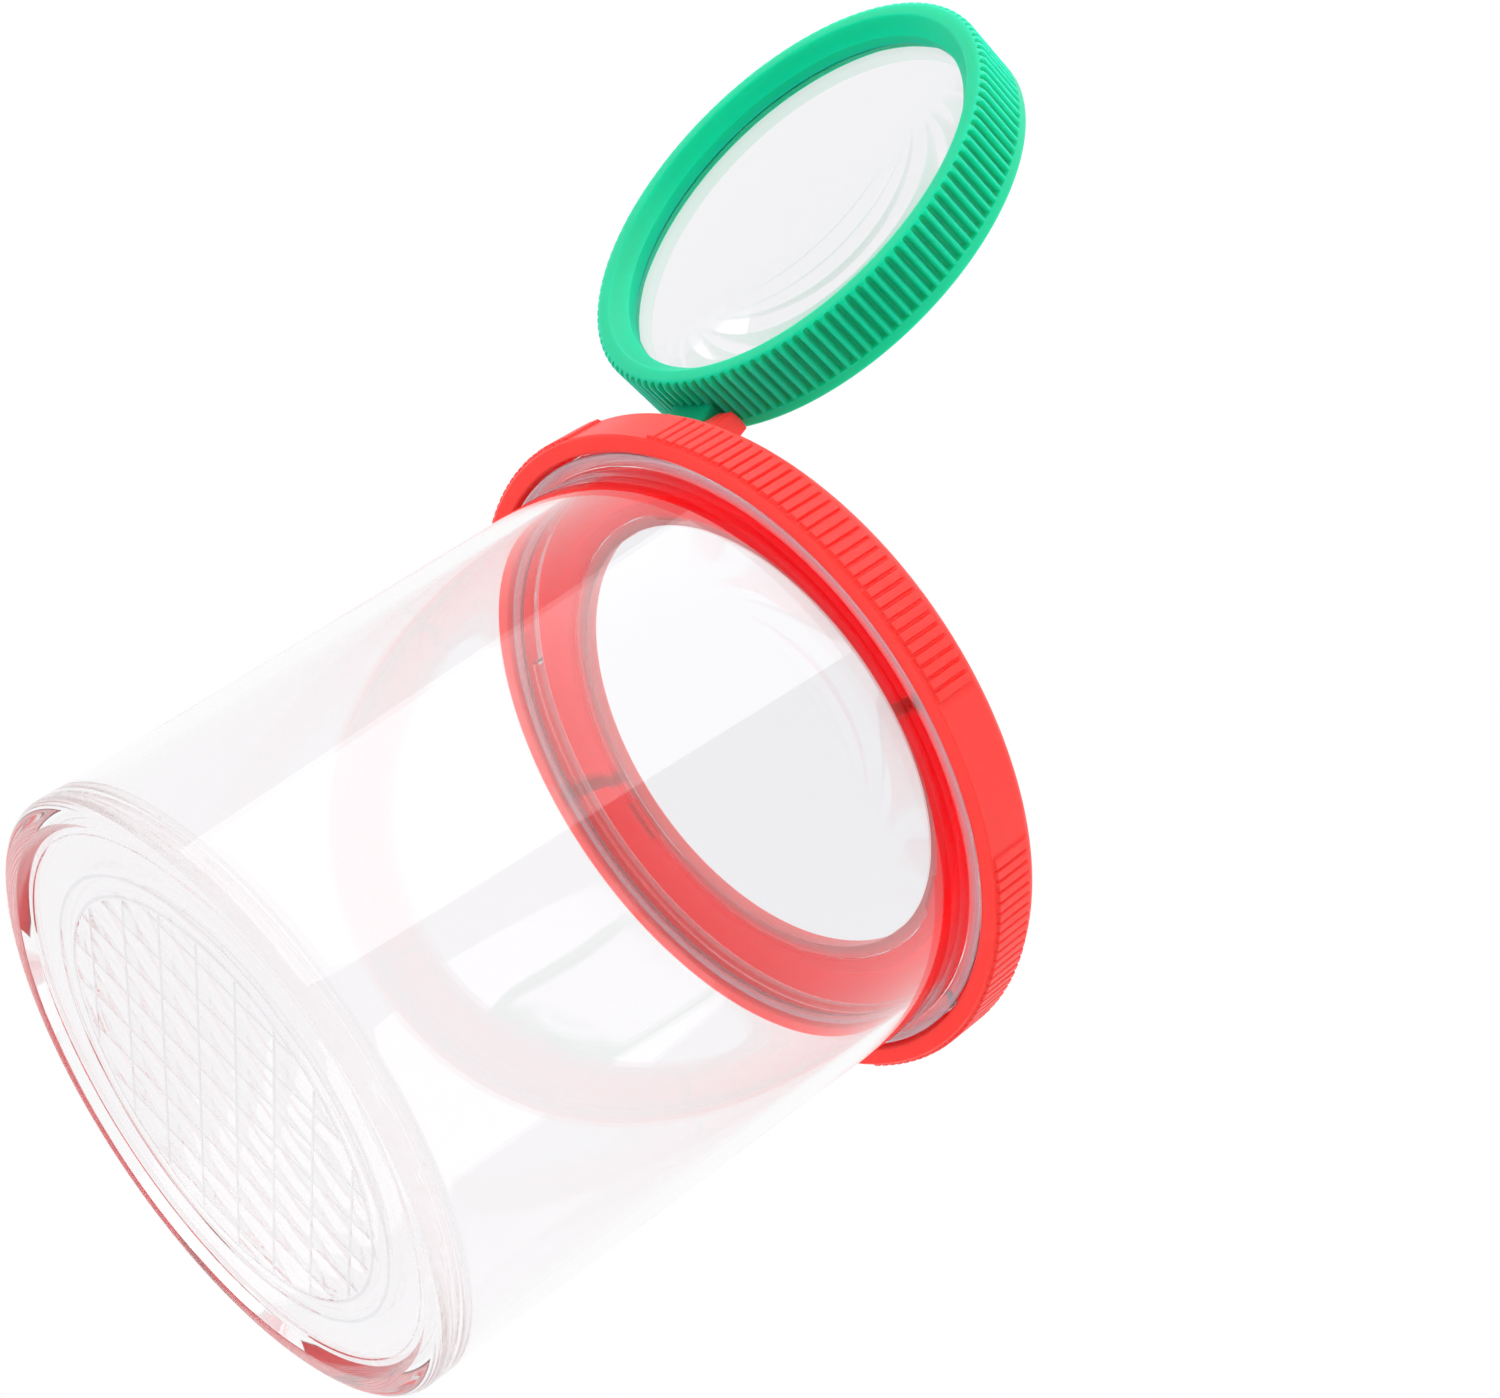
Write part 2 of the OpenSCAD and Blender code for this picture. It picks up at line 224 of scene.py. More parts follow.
def along_y(surface: Surface) -> Surface:
    """Lay a surface's axis along Y instead of Z, with its faces turned over so that they still face out."""
    return surface[0][:, [0, 2, 1]], surface[1][:, ::-1], surface[2][:, ::-1]


def moved_by(surface: Surface, matrix: Matrix) -> Surface:
    """Move a surface's vertices by a matrix that turns and shifts."""
    m = np.array(matrix)
    return surface[0] @ m[:3, :3].T + m[:3, 3], surface[1], surface[2]


def make_piece(name: str, surface: Surface) -> Piece:
    """Make a mesh object, smooth shaded, with sharp edges where the surface turns hard.

    Args:
        name: name of the piece.
        surface: vertices in millimetres, quads and triangles.

    Returns:
        The new object, at the origin, unturned and unscaled.
    """
    verts, quads, tris = surface
    mesh = bpy.data.meshes.new(name)
    mesh.from_pydata((verts * MM).tolist(), [], quads.tolist() + tris.tolist())
    mesh.validate()
    mesh.polygons.foreach_set("use_smooth", np.ones(len(mesh.polygons), bool))
    mesh.set_sharp_from_angle(angle=float(np.radians(CREASE)))
    piece = bpy.data.objects.new(name, mesh)
    bpy.context.scene.collection.objects.link(piece)
    return piece


def points_of(piece: Piece) -> Array:
    """Read a piece's vertices back from its mesh.

    Args:
        piece: the mesh object.

    Returns:
        x, y, z rows in millimetres.
    """
    co = np.empty(len(piece.data.vertices) * 3, np.float32)
    piece.data.vertices.foreach_get("co", co)
    return co.reshape(-1, 3).astype(float) / MM


def set_attributes(piece: Piece, **layers: Array | float) -> None:
    """Store numbers on a piece's vertices, for its material to read.

    Args:
        piece: the mesh object.
        layers: for each attribute's name, one value for each vertex or one for them all.
    """
    for name, values in layers.items():
        layer = piece.data.attributes.new(name, "FLOAT", "POINT")
        layer.data.foreach_set("value", np.full(len(piece.data.vertices), values, np.float32))


class Body(Enum):
    """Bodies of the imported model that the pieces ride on."""

    CUP = "cup"
    LID_SEAT = "lid_seat"
    LID = "lid"
    FLIP = "flip"


@dataclass(frozen=True)
class Clear:
    """Injection moulded clear plastic with a polished tool finish: a bright, nearly colourless solid.

    The eye reads it from what it bends and mirrors, so it is true refraction with a low roughness and a
    faint ripple. Lamps pass through it, because a clear jar throws only a faint shadow. A moulded line has
    a duller face than the polished tool, so it is a little greyer. A narrow ledge shows painted light: a
    share of a pale pinkish matt colour stands in for the light that its steps gather. Lengths are in
    millimetres.
    """

    name: str
    tint: str
    ior: float
    roughness: float
    shade: str
    line: str
    waviness: float
    ledge: str = "#F3E4F0"
    ripple: float = 14.0
    ripple_depth: float = 0.4

    def material(self) -> Material:
        """Build the material: refraction for rays that see it, a pale filter for lamps' shadows.

        Returns:
            The material. It reads the piece's attributes for its moulded lines and for painted light on its
            ledge.
        """
        mat, tree, out = new_material(self.name)
        lines = node(tree, "Attribute", attribute_name="line")
        colour = node(tree, "Mix", data_type="RGBA", inputs={
            0: lines.outputs["Fac"], 6: hex_colour(self.tint), 7: hex_colour(self.line)})
        haze = node(tree, "TexNoise", {
            "Vector": object_coords(tree), "Scale": 1 / (self.ripple * MM), "Detail": 1.0, "Roughness": 0.4})
        wave = node(tree, "Bump", {
            "Strength": self.waviness, "Distance": self.ripple_depth * MM, "Height": haze.outputs["Fac"]})
        plastic = node(tree, "BsdfPrincipled", {
            "Base Color": colour.outputs[2], "Roughness": self.roughness, "IOR": self.ior,
            "Transmission Weight": 1.0, "Normal": wave.outputs["Normal"]})
        # Painted light: a share of pale pinkish matt colour where the ledge's steps gather light.
        dull = node(tree, "Attribute", attribute_name="dull")
        skin = node(tree, "BsdfDiffuse", {"Color": hex_colour(self.ledge)})
        faced = node(tree, "MixShader", {0: dull.outputs["Fac"], 1: plastic, 2: skin})
        passing = node(tree, "BsdfTransparent", {"Color": hex_colour(self.shade)})
        path = node(tree, "LightPath")
        both = node(tree, "MixShader", {0: path.outputs["Is Shadow Ray"], 1: faced, 2: passing})
        tree.links.new(both.outputs[0], out.inputs["Surface"])
        return mat


@dataclass(frozen=True)
class Dyed:
    """Injection moulded polypropylene, dyed through: waxy, a little see-through, with a soft gloss.

    Light that enters it comes back more saturated, which the subsurface part gives. Hollows are darker
    than crests by painted shade, their own colour. The inner colour is painted light, a deeper tone that
    stands in for light coming through the plastic, and a face glows a little in its own colour by a painted
    emission, though it is no lamp. Lengths are in millimetres.
    """

    name: str
    colour: str
    # Colour of the painted shade in hollows.
    hollow: str
    # Painted light: a deeper tone that stands in for light coming through the plastic.
    inner: str
    scatter: tuple[float, float, float]
    roughness: float
    # Strength of the painted glow, an emission in the plastic's own colour.
    glow: float
    scatter_depth: float = 3.0
    ior: float = 1.49
    specular: float = 0.25
    gloss_change: float = 0.04
    cloud: float = 9.0
    cloud_change: float = 0.03
    grain: float = 0.35
    grain_depth: float = 0.03
    grain_strength: float = 0.12

    def material(self) -> Material:
        """Build the material: painted shade in hollows, painted light on inner sides, a fine moulded grain
        and soft scatter.

        Colour and gloss drift in clouds: the noise's usual range, 0.3 to 0.7, is spread over the change.

        Returns:
            The material. It reads the piece's attributes for painted shade, the inner colour and painted
            glow.
        """
        mat, tree, out = new_material(self.name)
        hollow = node(tree, "Attribute", attribute_name="hollow")
        inner = node(tree, "Attribute", attribute_name="inner")
        soak = node(tree, "Attribute", attribute_name="soak")
        first = node(tree, "Mix", data_type="RGBA", inputs={
            0: hollow.outputs["Fac"], 6: hex_colour(self.colour), 7: hex_colour(self.hollow)})
        second = node(tree, "Mix", data_type="RGBA", inputs={
            0: inner.outputs["Fac"], 6: first.outputs[2], 7: hex_colour(self.inner)})
        cloud = node(tree, "TexNoise", {
            "Vector": object_coords(tree), "Scale": 1 / (self.cloud * MM), "Detail": 2.0})
        drift = {"Value": cloud.outputs["Fac"], "From Min": 0.3, "From Max": 0.7}
        spread = node(tree, "MapRange", {
            **drift, "To Min": 1 - self.cloud_change, "To Max": 1 + self.cloud_change})
        toned = node(tree, "HueSaturation", {"Color": second.outputs[2], "Value": spread})
        grain = node(tree, "TexNoise", {
            "Vector": object_coords(tree), "Scale": 1 / (self.grain * MM), "Detail": 2.0})
        skin = node(tree, "Bump", {
            "Strength": self.grain_strength, "Distance": self.grain_depth * MM,
            "Height": grain.outputs["Fac"]})
        shine = node(tree, "MapRange", {
            **drift, "To Min": self.roughness - self.gloss_change,
            "To Max": self.roughness + self.gloss_change})
        # Painted light: the glow attribute times the glow strength drives an emission, though the plastic is
        # no lamp.
        through = node(tree, "Math", {0: soak.outputs["Fac"], 1: self.glow}, operation="MULTIPLY")
        plastic = node(tree, "BsdfPrincipled", {
            "Base Color": toned, "Roughness": shine, "IOR": self.ior,
            "Specular IOR Level": self.specular, "Subsurface Weight": 1.0,
            "Subsurface Radius": self.scatter, "Subsurface Scale": self.scatter_depth * MM,
            "Emission Color": toned, "Emission Strength": through,
            "Normal": skin.outputs["Normal"]})
        tree.links.new(plastic.outputs[0], out.inputs["Surface"])
        return mat


def new_material(name: str) -> tuple[Material, bpy.types.NodeTree, bpy.types.Node]:
    """Make an empty node material.

    Args:
        name: name of the material.

    Returns:
        The material, its node tree and its output node.
    """
    mat = bpy.data.materials.new(name)
    mat.use_nodes = True
    mat.node_tree.nodes.clear()
    return mat, mat.node_tree, node(mat.node_tree, "OutputMaterial")


def node(tree: bpy.types.NodeTree, kind: str, inputs: Optional[dict] = None,
         **settings: str) -> bpy.types.Node:
    """Add a node with its settings and links.

    Args:
        tree: the tree that takes the node.
        kind: Blender's type name of the node, after the ShaderNode that all of them start with.
        inputs: input name or number to a value, to the socket that feeds it, or to a node whose first does.
        settings: attributes of the node to set.

    Returns:
        The new node.
    """
    made = tree.nodes.new("ShaderNode" + kind)
    for key, value in settings.items():
        setattr(made, key, value)
    for key, value in (inputs or {}).items():
        value = value.outputs[0] if isinstance(value, bpy.types.Node) else value
        if isinstance(value, bpy.types.NodeSocket):
            tree.links.new(value, made.inputs[key])
        else:
            made.inputs[key].default_value = value
    return made


def object_coords(tree: bpy.types.NodeTree) -> bpy.types.NodeSocket:
    """The Object output of a texture coordinate node, in metres in the model's frame."""
    return node(tree, "TexCoord").outputs["Object"]


# Polystyrene bends light strongly, which gives the cup's foot and rim their bright and dark bands.
CUP_PLASTIC = Clear("clear_polystyrene_cup", "#FBFAFB", 1.57, 0.015, "#F4F2F5", "#E0DFE2", 0.02)
# Acrylic for lenses is clearer and smoother, so the eye sees the room through it with hardly a ripple.
LENS_PLASTIC = Clear("clear_acrylic_lens", "#F1F1F3", 1.49, 0.012, "#F1F1F3", "#F1F1F3", 0.003)
# Both dyed plastics have a satin face. The red has a strong painted glow, an emission that stands in for
# light coming through it, and the green a weak one.
RED_PLASTIC = Dyed("red_polypropylene_lid", "#FD443F", "#F0342F", "#FF1420", (1.0, 0.12, 0.1), 0.42, 0.4)
GREEN_PLASTIC = Dyed("green_polypropylene_ring", "#15C494", "#0BAA7A", "#0CCB99", (0.2, 1.0, 0.8), 0.45, 0.08)


@dataclass
class Cup:
    """The clear cup: recessed floor with the measuring grid, tapered wall, seat flange and locking lugs."""

    low_r: float = 30.12
    top_r: float = 31.6
    height: float = 65.4
    wall: float = 1.5
    floor: float = 2.0
    foot_round: float = 1.05
    foot_land: float = 1.25
    recess: float = 0.8
    grid_pitch: float = 5.0
    grid_r: float = 20.36
    grid_ring_r: float = 22.39
    line_w: float = 0.44
    line_h: float = 0.04
    line_stop: float = 0.12
    line_zone_r: float = 24.0
    grid_turn: float = 331.5
    step_r: float = 26.25
    step_bead: float = 0.1
    inner_round: float = 1.2
    flange_z: float = 62.875
    flange_t: float = 0.5
    lug_z: float = 64.575
    lug_t: float = 0.75
    lug_reach: float = 1.25
    lug_span: float = 144.0
    lug_ease: float = 2.2
    # Share of painted light, a pale pinkish matt colour, on the flange's faces.
    gap_az: float = 329.0
    flange_dull: float = 0.45
    sections: int = 384

    def wall_r(self, z: float) -> float:
        """Radius of the cup's outside at height z: a straight taper from the foot corner to the rim."""
        slope = (self.top_r - self.low_r) / (self.height - self.foot_round)
        return self.low_r + slope * (z - self.foot_round)

    def line_bump(self, r: float) -> Array:
        """Outline of a raised line that runs round at radius r under the floor."""
        w, z, h = self.line_w / 2, self.recess, self.line_h
        return np.array([[r - w, z], [r - w / 2, z - h], [r + w / 2, z - h], [r + w, z]])

    def ledge(self, z: float, thickness: float, bevel: float = 0.12) -> Array:
        """Outline of a ledge that stands out from the wall, with eased edges.

        Args:
            z: height of its underside.
            thickness: height of its top over that.
            bevel: easing of its edges.

        Returns:
            (radius, height) rows.
        """
        foot, top, tip = self.wall_r(z), self.wall_r(z + thickness), self.top_r + self.lug_reach
        return np.array([[foot, z], [tip - bevel, z], [tip, z + bevel], [tip, z + thickness - bevel],
                         [tip - bevel, z + thickness], [top, z + thickness]])

    def profile(self) -> Array:
        """Half section of the cup from the edge of the grid's disc, under and up, to the floor's middle.

        Returns:
            (radius, height) rows.
        """
        land = self.low_r - self.foot_round
        inner = land - self.foot_land
        floor_z = self.recess + self.floor
        in_r = self.wall_r(floor_z) - self.wall
        rim, corner, bead, ease = self.wall / 2, self.inner_round, self.step_bead, 0.05
        walls = [[self.wall_r(z), z] for z in np.linspace(4, 60, 8)]
        inside = [[self.wall_r(z) - self.wall, z] for z in np.linspace(62, 6, 8)]
        return outline(
            [self.patch_r(), self.recess], self.line_bump(self.grid_r), self.line_bump(self.grid_ring_r),
            [self.step_r, self.recess], [self.step_r + bead, self.recess - bead],
            [self.step_r + 2 * bead, self.recess], [inner - self.recess, self.recess],
            [inner - 2 * ease, ease], [inner + ease, 0], [land, 0],
            arc(land, self.foot_round, self.foot_round, -82, 0, 9), walls,
            self.ledge(self.flange_z, self.flange_t), self.ledge(self.lug_z, self.lug_t),
            arc(self.top_r - rim, self.height - rim, rim, 10, 170, 10), inside,
            arc(in_r - corner, floor_z + corner, corner, 0, -90, 8), [[MID_R, floor_z], [0, floor_z]],
        )

    def patch_r(self, margin: float = 0.04) -> float:
        """Radius of the disc that holds the grid, a small margin inside the ring that bounds it."""
        return self.grid_r - self.line_w / 2 - margin

    def lugs(self, r: Array, z: Array, az: Array) -> tuple[Array, Array]:
        """Draw the lugs' ledge back to the wall in the two gaps, with rounded ends.

        Args:
            r: radii.
            z: heights.
            az: angles in degrees.

        Returns:
            The moved radii and the same heights.
        """
        same, inside = 0.01, 0.05
        stand = sum(within(az, self.gap_az + 90 + side, self.lug_span, self.lug_ease) for side in (0, 180))
        round_end = np.sqrt(np.clip(stand * (2 - stand), 0, 1))
        base = self.wall_r(self.lug_z)
        lug = (z >= self.lug_z - same) & (z <= self.lug_z + self.lug_t + same) & (r > base - inside)
        return np.where(lug, base + (r - base) * round_end, r), z

    def grid_patch(self, az: Array) -> Surface:
        """The disc that carries the measuring grid, raised along two families of parallel lines.

        Each line is a low ridge: its height over the disc falls from the full value within a quarter of
        the line's width of its middle to nothing at half the width. The disc is cut into triangles along
        the feet and crests of all lines, and each point takes the higher of the two families' heights.

        Args:
            az: angles of the disc's edge points, shared with the cup's outline.

        Returns:
            The disc as a surface that faces down.
        """
        edge_r, end_r = self.patch_r(), self.patch_r() - self.line_stop
        turn = np.radians(az)
        rim = np.stack([edge_r * np.cos(turn), edge_r * np.sin(turn)], 1)
        count = int(self.grid_r / self.grid_pitch - 0.5) + 1
        middles = (np.arange(-count, count) + 0.5) * self.grid_pitch
        offsets = (middles[:, None] + np.array([-0.5, -0.25, 0.25, 0.5]) * self.line_w).ravel()
        half = np.sqrt(end_r**2 - offsets**2)
        along = np.stack([np.stack([-half, offsets], 1), np.stack([half, offsets], 1)], 1).reshape(-1, 2)
        across = along[:, ::-1]
        phi = np.radians(self.grid_turn)
        spin = np.array([[np.cos(phi), np.sin(phi)], [-np.sin(phi), np.cos(phi)]])
        ends = np.concatenate([along, across]) @ spin
        flat = np.concatenate([rim, ends])
        first = len(rim)
        edges = [(first + i, first + i + 1) for i in range(0, len(ends), 2)]
        edges += [(i, (i + 1) % first) for i in range(first)]
        found = delaunay_2d_cdt([Vector(p) for p in flat], edges, [], 0, 1e-5)
        xy = np.array([tuple(v) for v in found[0]])
        tris = np.array([f[::-1] for f in found[2]])
        local = xy @ spin.T
        near = np.abs(local[:, :, None] - middles).min(2)
        rise = np.clip((self.line_w / 2 - near) / (self.line_w / 4), 0, 1).max(1)
        rise *= np.hypot(*xy.T) < (edge_r + end_r) / 2
        return np.column_stack([xy, self.recess - self.line_h * rise]), np.zeros((0, 4), int), tris

    def build(self, finish: Material) -> Piece:
        """Make the cup: the turned wall and floor, joined to the disc that carries the grid.

        Args:
            finish: the clear plastic.

        Returns:
            The cup's object.
        """
        az = even_azimuths(self.sections)
        body = turned(self.profile(), az, self.lugs)
        cup = make_piece("cup_clear", joined(body, self.grid_patch(az)))
        x, y, z = points_of(cup).T
        r = np.hypot(x, y)
        line = np.clip((self.recess - z) / self.line_h, 0, 1) * (r < self.line_zone_r)
        slack, stand_off = 0.05, 0.2
        off_middle = np.abs(z - self.flange_z - self.flange_t / 2)
        flange = (off_middle < self.flange_t / 2 + slack) & (r > self.top_r + stand_off)
        # Painted light: the flange's faces take a share of pale pinkish matt colour.
        set_attributes(cup, line=line, dull=self.flange_dull * flange)
        return dressed(cup, finish, Body.CUP, "clear_cup", "cup")


@dataclass
class Lid:
    """The red lid ring: ribbed skirt, top with the lens opening, lens collar, lugs, vent ribs and ears."""

    radius: float = 35.0
    skirt_wall: float = 1.84
    top_z: float = 68.5
    top_t: float = 2.25
    skirt_z: float = 62.5
    edge_round: float = 1.2
    opening_r: float = 23.6
    shoulder: float = 1.4
    collar_depth: float = 1.3
    collar_wall: float = 1.3
    rib_pitch: float = 2.0
    rib_h: float = 0.3
    rib_start: float = 0.2
    rib_flank: float = 0.12
    rib_end: float = 0.86
    plain_az: float = 205.0
    plain_narrow: float = 20.0
    plain_offset: float = 89.0
    plain_wide: float = 26.0
    vent_h: float = 0.6
    vent_w: float = 1.7
    vent_r: float = 29.0
    vent_turn: float = 48.0
    lug_z: float = 63.625
    lug_t: float = 0.7
    lug_r: float = 31.85
    lug_span: float = 22.0
    gap_az: float = 329.0
    lens_z: float = 65.52
    lens_play: float = 0.08
    nib_reach: float = 0.49
    nib_w: float = 5.2
    chamfer: float = 0.3
    # The inner wall gets less of the painted inner colour and glow, as the cup's rim stands before it. The
    # foot and the ears glow by painted light.
    wall_shade: float = 0.7
    foot_soak: float = 0.9
    ear_soak: float = 0.5

    def inner_r(self) -> float:
        """Radius of the skirt's inner wall."""
        return self.radius - self.skirt_wall

    def plate_z(self) -> float:
        """Height of the underside of the lid's top."""
        return self.top_z - self.top_t

    def collar_r(self) -> float:
        """Radius of the bore of the lens's collar."""
        return self.opening_r + self.shoulder

    def rib_ends(self) -> tuple[float, float]:
        """Heights between which the grip ribs stand."""
        return self.skirt_z + self.rib_start, self.top_z - self.edge_round

    def bands(self) -> list[tuple[float, float]]:
        """Find the four bands of grip ribs between the plain zones.

        Returns:
            Each band's start and span in degrees.
        """
        halves = (self.plain_narrow + self.plain_wide) / 2
        return [band for side in (0, 180) for band in (
            (self.plain_az + side + self.plain_narrow / 2, self.plain_offset - halves),
            (self.plain_az + side + self.plain_offset + self.plain_wide / 2,
             180 - self.plain_offset - halves))]

    def rib_wave(self, az: Array) -> Array:
        """How far the skirt stands out at each angle: 1 on a rib's crest, 0 in grooves and plain zones.

        Within a band, the place in a rib's pitch runs from 0 to 1. The rib rises over the share rib_flank,
        stays on its crest, and falls over as much again to the groove, which it meets at rib_end.

        Args:
            az: angles in degrees.

        Returns:
            A value from 0 to 1 for each angle.
        """
        wave = np.zeros_like(az)
        for start, span in self.bands():
            count = int(span / self.rib_pitch)
            place = ((az - start - (span - count * self.rib_pitch) / 2) % 360) / self.rib_pitch
            share = place % 1
            up, down = share / self.rib_flank, (self.rib_end - share) / self.rib_flank
            rib = np.minimum(np.clip(up, 0, 1), np.clip(down, 0, 1))
            wave = np.where(place < count, rib, wave)
        return wave

    def azimuths(self) -> Array:
        """Angles at every corner of the rib wave, one on each crest's middle, and even ones elsewhere.

        Returns:
            Ascending angles in degrees, with none that nearly repeats the one before it.
        """
        flank, end, least = self.rib_flank, self.rib_end, 0.06
        marks = [0.0, flank, end / 2, end - flank, end]
        found = [even_azimuths(240)]
        for start, span in self.bands():
            count = int(span / self.rib_pitch)
            first = start + (span - count * self.rib_pitch) / 2
            found.append((first + (np.arange(count)[:, None] + marks).ravel() * self.rib_pitch) % 360)
        every = np.sort(np.concatenate(found))
        keep = np.diff(every, append=every[0] + 360) > least
        return every[keep]

    def profile(self) -> Array:
        """Half section of the lid as a closed loop, from the skirt's inner lower edge outwards and up.

        Returns:
            (radius, height) rows.
        """
        inner, plate, collar = self.inner_r(), self.plate_z(), self.collar_r()
        outer, low = collar + self.collar_wall, plate - self.collar_depth
        e, soft, c, t = 0.18, 0.35, 0.15, self.top_z
        rib_low, rib_top = self.rib_ends()
        wall = [[self.radius, z] for z in (rib_low, rib_low + e, rib_low + 2 * e, rib_top - 2 * e,
                                           rib_top - e, rib_top)]
        above = [[r, t] for r in (30, 26)]
        below = [[r, plate] for r in (self.vent_r, 32)]
        return outline(
            [[inner + e, self.skirt_z], [self.radius - e, self.skirt_z], [self.radius, self.skirt_z + e]],
            wall, arc(self.radius - self.edge_round, t - self.edge_round, self.edge_round, 8, 90, 9),
            above, arc(self.opening_r + soft, t - soft, soft, 90, 180, 6),
            [[self.opening_r, plate], [collar, plate], [collar, self.lens_z - self.lens_play],
             [collar, self.lens_z - self.chamfer], [collar, low + c], [collar + c, low], [outer - c, low],
             [outer, low + c], [outer, plate - 0.01], [outer + self.chamfer, plate]],
            below, [inner, plate - self.chamfer], self.lug_rows(inner), [inner, self.skirt_z + e],
        )

    def lug_rows(self, inner: float, ease: float = 0.08) -> Array:
        """Outline rows of the inner wall at the height of the lid's lugs, from the top down."""
        top, low = self.lug_z + self.lug_t, self.lug_z
        return np.array([[inner, top], [inner, top - ease], [inner, low + ease], [inner, low]])

    def pattern(self, r: Array, z: Array, az: Array) -> tuple[Array, Array]:
        """Move the plain turned lid by its grip ribs, lugs, vent ribs and snap nibs.

        Each of them is a product of a wave of the angle and a window of the outline's rows: ribs move the
        outer wall outwards, lugs the inner wall inwards, vent ribs the top's underside down, and nibs the
        collar's lower edge inwards. A window ends a little off a row, which is then in it or out of it.

        Args:
            r: radii.
            z: heights.
            az: angles in degrees.

        Returns:
            The moved radii and heights.
        """
        inner, plate, collar = self.inner_r(), self.plate_z(), self.collar_r()
        rib_low, rib_top = self.rib_ends()
        same, off = 0.01, 0.05
        on_wall = (np.abs(r - self.radius) < same) & (z > rib_low + off) & (z < rib_top - off)
        moved = r + self.rib_h * self.rib_wave(az) * on_wall
        lug = sum(within(az, self.gap_az + side, self.lug_span, 1.0) for side in (0, 180))
        on_lug = (np.abs(r - inner) < same) & (z < self.lug_z + self.lug_t - off) & (z > self.lug_z + off)
        moved = moved - (inner - self.lug_r) * lug * on_lug
        nib_span = np.degrees(self.nib_w / collar)
        nib = sum(within(az, self.gap_az + third, nib_span, 0.8) for third in (0, 120, 240))
        seat = self.lens_z - self.lens_play
        on_nib = (np.abs(r - collar) < same) & (z < seat - off) & (z > plate - self.collar_depth)
        moved = moved - self.nib_reach * nib * on_nib
        under_top = (r > collar + self.collar_wall - same) & (r < inner + same)
        on_plate = under_top & (np.abs(z - plate) < self.chamfer + off)
        return moved, z - self.vent_h * self.vents(az) * on_plate

    def vents(self, az: Array) -> Array:
        """Where the two ribs stand that keep an air gap between the lid's top and the cup's rim: 1 on one."""
        span = np.degrees(self.vent_w / self.vent_r)
        return sum(within(az, self.gap_az - self.vent_turn + side, span, 0.4) for side in (0, 180))

    def build(self, finish: Material, hinge: "Hinge") -> list[Piece]:
        """Make the lid ring and its two ears.

        The grooves are darker by painted shade, and the vent ribs take the same darker colour. The underside
        and, more faintly, the inner wall have the inner colour, a deeper red of painted light, apart from a
        lip round the opening. There and at the foot the red also glows by a painted emission, and the ears
        glow a little too.

        Args:
            finish: the red plastic.
            hinge: where the ears stand.

        Returns:
            The lid's objects.
        """
        ring = make_piece("lid_ring", turned(self.profile(), self.azimuths(), self.pattern, loop=True))
        x, y, z = points_of(ring).T
        r, az = np.hypot(x, y), np.degrees(np.arctan2(y, x)) % 360
        inner, same, off, lip, wall_zone = self.inner_r(), 0.01, 0.05, 1.0, 0.4
        rib_low, rib_top = self.rib_ends()
        banded = sum(within(az, start + span / 2, span + 1, 0.5) for start, span in self.bands())
        on_wall = (r > self.radius - same) & (z > rib_low + off) & (z < rib_top)
        # Painted shade: the grooves and, below, the vent ribs take the darker colour.
        groove = banded * on_wall * np.clip((self.radius + self.rib_h - r) / self.rib_h, 0, 1)
        under = (r < inner + off) & (z < self.plate_z() + off) & (r > self.opening_r + lip)
        rib = under * self.vents(az)
        foot = (z < self.skirt_z + off) & (r > inner + off)
        # Painted light: the inner colour and glow under the top, weaker on the inner wall, and a painted glow
        # on the foot.
        inside = under * (1 - self.wall_shade * (r > inner - wall_zone)) * (1 - rib)
        set_attributes(ring, hollow=groove + rib, inner=inside, soak=inside + self.foot_soak * foot)
        pieces = [dressed(ring, finish, Body.LID, "red_lid", "lid")]
        for name, side in (("lid_ear_left", -1), ("lid_ear_right", 1)):
            ear = make_piece(name, hinge.ear(side))
            # Painted light: the ears glow a little in their own colour.
            set_attributes(ear, soak=self.ear_soak)
            pieces.append(dressed(ear, finish, Body.LID, "red_lid"))
        return pieces


@dataclass
class LidLens:
    """The low power lens of the lid: a flat underside, a thin seat flange and a domed top."""

    flange_r: float = 24.92
    flange_z: float = 65.52
    edge: float = 0.65
    dome_r: float = 23.52
    sag: float = 1.6
    step: float = 0.08
    step_draft: float = 0.02

    def build(self, finish: Material) -> Piece:
        """Make the lens by turning its half section round the jar's axis, with a low step to the dome.

        Args:
            finish: the clear plastic.

        Returns:
            The lens's object.
        """
        top = self.flange_z + self.edge
        points = outline(
            lens_rows(self.flange_r, self.flange_z, top), [self.dome_r + self.step_draft, top],
            dome(self.dome_r, top + self.step, self.sag),
        )
        lens = make_piece("lid_lens_clear", turned(points, even_azimuths(192)))
        return dressed(lens, finish, Body.LID_SEAT, "clear_lens", "lid_lens")


